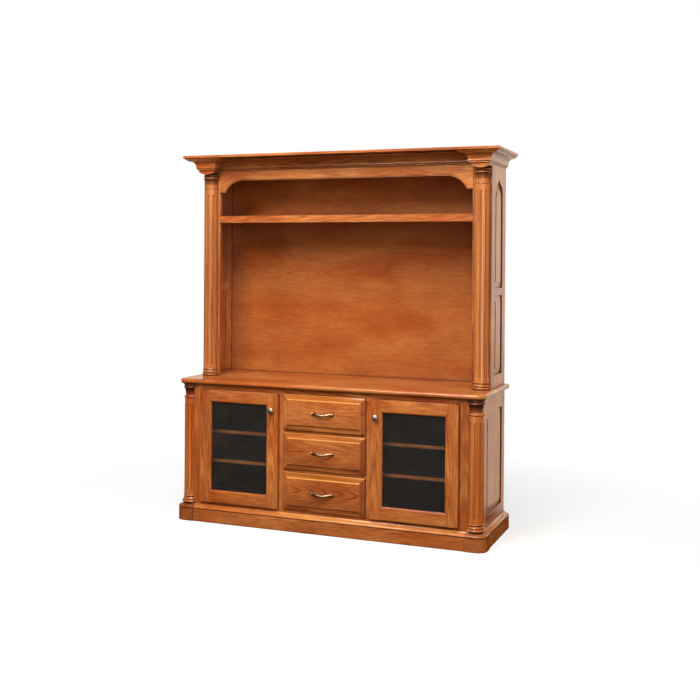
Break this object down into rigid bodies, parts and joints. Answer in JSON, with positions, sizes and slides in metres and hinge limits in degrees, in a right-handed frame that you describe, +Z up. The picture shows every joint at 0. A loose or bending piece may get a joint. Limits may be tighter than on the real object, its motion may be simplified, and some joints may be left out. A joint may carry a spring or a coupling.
{
  "type": "tv stand with hutch",
  "caption": "Tall breakfront media cabinet: base with glazed doors, drawers and clipped corners, and a hutch with fluted half columns, arched valance and crown over a television bay.",
  "frame": {"origin": "centre of the overall box, on the floor", "axes": "+X to the right seen from the front, +Y to the back, +Z up"},
  "size_m": [1.864, 0.5805, 2.08],
  "materials": {
    "stained_cherry": "medium brown stain and satin lacquer, dark glaze left in the grooves",
    "cherry_plywood": "stained cherry plywood, satin lacquer",
    "dark_plywood": "dark brown stained plywood, satin lacquer",
    "drawer_maple": "clear lacquered light hardwood",
    "smoked_glass": "grey smoked float glass, polished",
    "aged_brass": "aged brass, brushed",
    "dark_bronze": "oil rubbed bronze",
    "satin_nickel": "satin nickel plate",
    "zinc_steel": "zinc plated steel",
    "catch_brown": "brown moulded catch body"
  },
  "bodies": {
    "cabinet": {"plinth_front_board": "stained_cherry", "plinth_side_boards": "stained_cherry", "plinth_corner_blocks": "stained_cherry", "plinth_cap_mouldings": "stained_cherry", "base_floor": "dark_plywood", "base_back": "dark_plywood", "base_side_stiles": "stained_cherry", "base_side_rails": "stained_cherry", "base_side_panels": "stained_cherry", "base_partitions": "dark_plywood", "face_frame_stiles": "stained_cherry", "face_frame_rails": "stained_cherry", "corner_posts": "stained_cherry", "left_base_column": "stained_cherry", "right_base_column": "stained_cherry", "cabinet_shelves": "stained_cherry", "base_top": "stained_cherry", "hutch_side_stiles": "stained_cherry", "hutch_side_rails": "stained_cherry", "hutch_side_panels": "stained_cherry", "hutch_front_stiles": "stained_cherry", "left_hutch_column": "stained_cherry", "right_hutch_column": "stained_cherry", "column_cap_blocks": "stained_cherry", "valance": "stained_cherry", "hutch_shelf": "stained_cherry", "hutch_shelf_rail": "stained_cherry", "hutch_back": "cherry_plywood", "hutch_top_panel": "stained_cherry", "crown_mouldings": "stained_cherry", "crown_top_board": "stained_cherry", "shelf_pins": "satin_nickel", "drawer_runners": "zinc_steel", "door_pivot_brackets": "dark_bronze", "door_catches": "catch_brown"},
    "left_door": {"left_door_frame": "stained_cherry", "left_door_glass": "smoked_glass", "left_door_glass_stops": "stained_cherry", "left_door_knob": "satin_nickel", "left_door_bushes": "dark_bronze", "left_door_strike": "zinc_steel"},
    "right_door": {"right_door_frame": "stained_cherry", "right_door_glass": "smoked_glass", "right_door_glass_stops": "stained_cherry", "right_door_knob": "satin_nickel", "right_door_bushes": "dark_bronze", "right_door_strike": "zinc_steel"},
    "top_drawer": {"top_drawer_front": "stained_cherry", "top_drawer_box": "drawer_maple", "top_drawer_slides": "zinc_steel", "top_drawer_pull": "aged_brass"},
    "middle_drawer": {"middle_drawer_front": "stained_cherry", "middle_drawer_box": "drawer_maple", "middle_drawer_slides": "zinc_steel", "middle_drawer_pull": "aged_brass"},
    "bottom_drawer": {"bottom_drawer_front": "stained_cherry", "bottom_drawer_box": "drawer_maple", "bottom_drawer_slides": "zinc_steel", "bottom_drawer_pull": "aged_brass"}
  },
  "joints": [
    {"name": "left_door_hinge", "type": "hinge", "parent": "cabinet", "child": "left_door", "pos_m": [-0.746, -0.25475, 0.4305], "axis": [0, 0, -1], "range_deg": [0, 110]},
    {"name": "right_door_hinge", "type": "hinge", "parent": "cabinet", "child": "right_door", "pos_m": [0.746, -0.25475, 0.4305], "axis": [0, 0, 1], "range_deg": [0, 110]},
    {"name": "top_drawer_slide", "type": "slide", "parent": "cabinet", "child": "top_drawer", "axis": [0, -1, 0], "range_m": [0, 0.34]},
    {"name": "middle_drawer_slide", "type": "slide", "parent": "cabinet", "child": "middle_drawer", "axis": [0, -1, 0], "range_m": [0, 0.34]},
    {"name": "bottom_drawer_slide", "type": "slide", "parent": "cabinet", "child": "bottom_drawer", "axis": [0, -1, 0], "range_m": [0, 0.34]}
  ]
}
